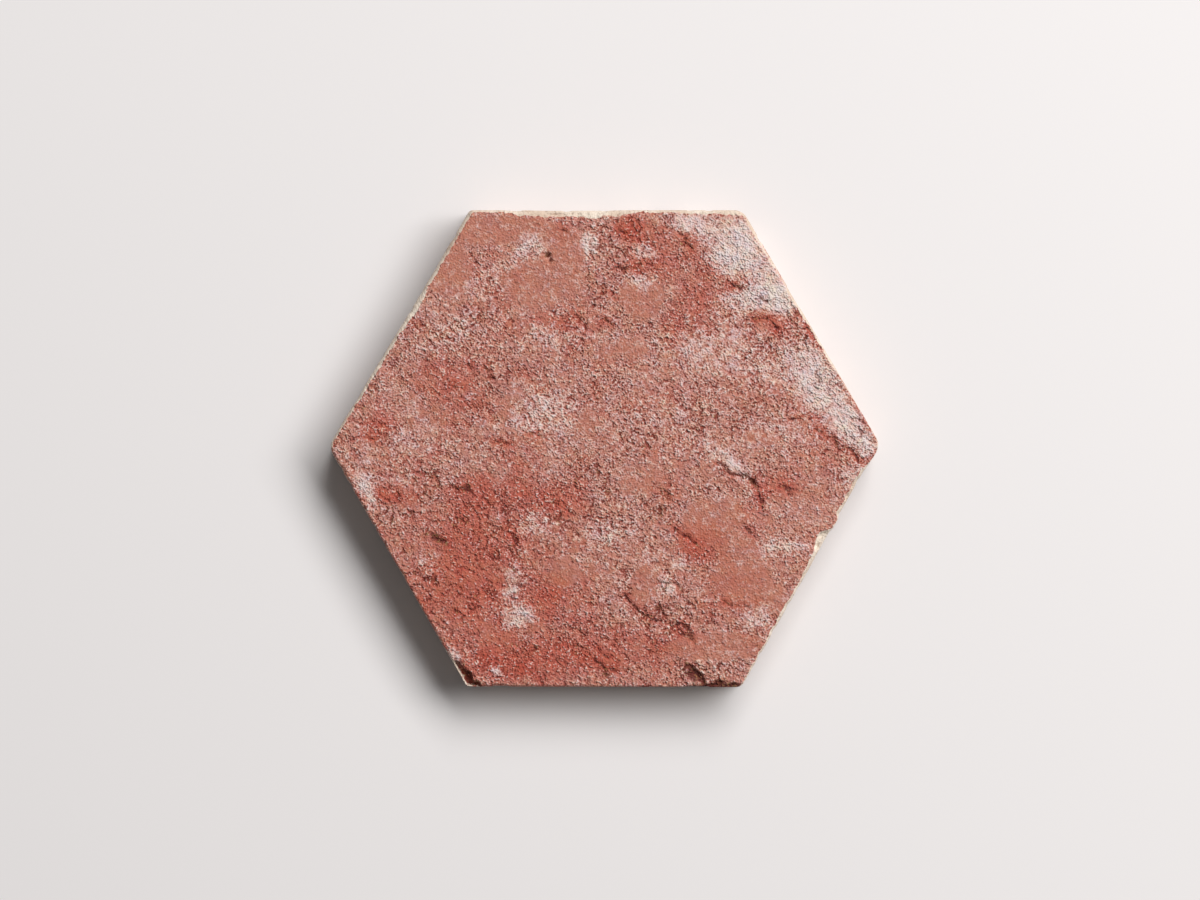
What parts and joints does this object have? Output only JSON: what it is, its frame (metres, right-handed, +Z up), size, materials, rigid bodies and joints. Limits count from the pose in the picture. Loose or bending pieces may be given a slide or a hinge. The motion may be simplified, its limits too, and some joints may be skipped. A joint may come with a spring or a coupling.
{
  "type": "hexagonal floor tile",
  "caption": "Worn hexagonal terracotta floor tile: an uneven red fired face with lime residue, chipped arrises and straight pale sides",
  "frame": {"origin": "middle of the flat underside", "axes": "+X runs across corners to the corner on the picture's right, +Y to the flat side at the picture's top, +Z up out of the worn face"},
  "size_m": [0.1835, 0.1599, 0.0184],
  "materials": {
    "fired_clay": "matte"
  },
  "bodies": {
    "root": {"tile": "fired_clay"}
  },
  "joints": []
}
